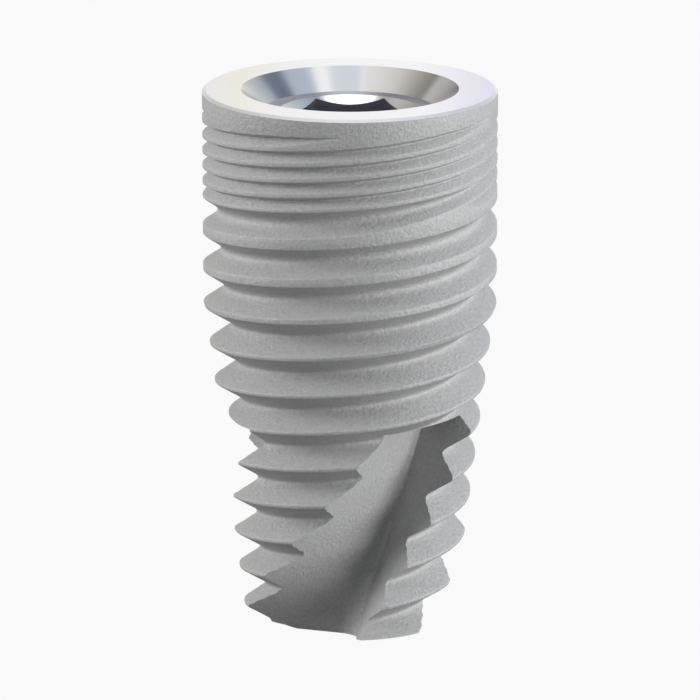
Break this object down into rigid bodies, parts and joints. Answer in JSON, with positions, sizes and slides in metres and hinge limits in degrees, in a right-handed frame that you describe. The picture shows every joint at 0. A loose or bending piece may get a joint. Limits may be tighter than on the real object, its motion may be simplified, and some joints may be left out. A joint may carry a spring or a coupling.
{
  "type": "dental implant",
  "caption": "One-piece tapered screw implant with fine collar grooves, a two-start body thread, cutting flutes and an internal hexagon.",
  "frame": {"origin": "centre of the flat apex, on the implant's axis", "axes": "+Z along the implant's axis, from the apex to the platform; the camera side of the picture is -Y, and two corners of the hexagon lie on the X axis"},
  "size_m": [0.006, 0.006, 0.0113],
  "materials": {
    "blasted_titanium": "grit-blasted and etched titanium, matt grey"
  },
  "bodies": {
    "root": {"implant_body": "blasted_titanium"}
  },
  "joints": []
}
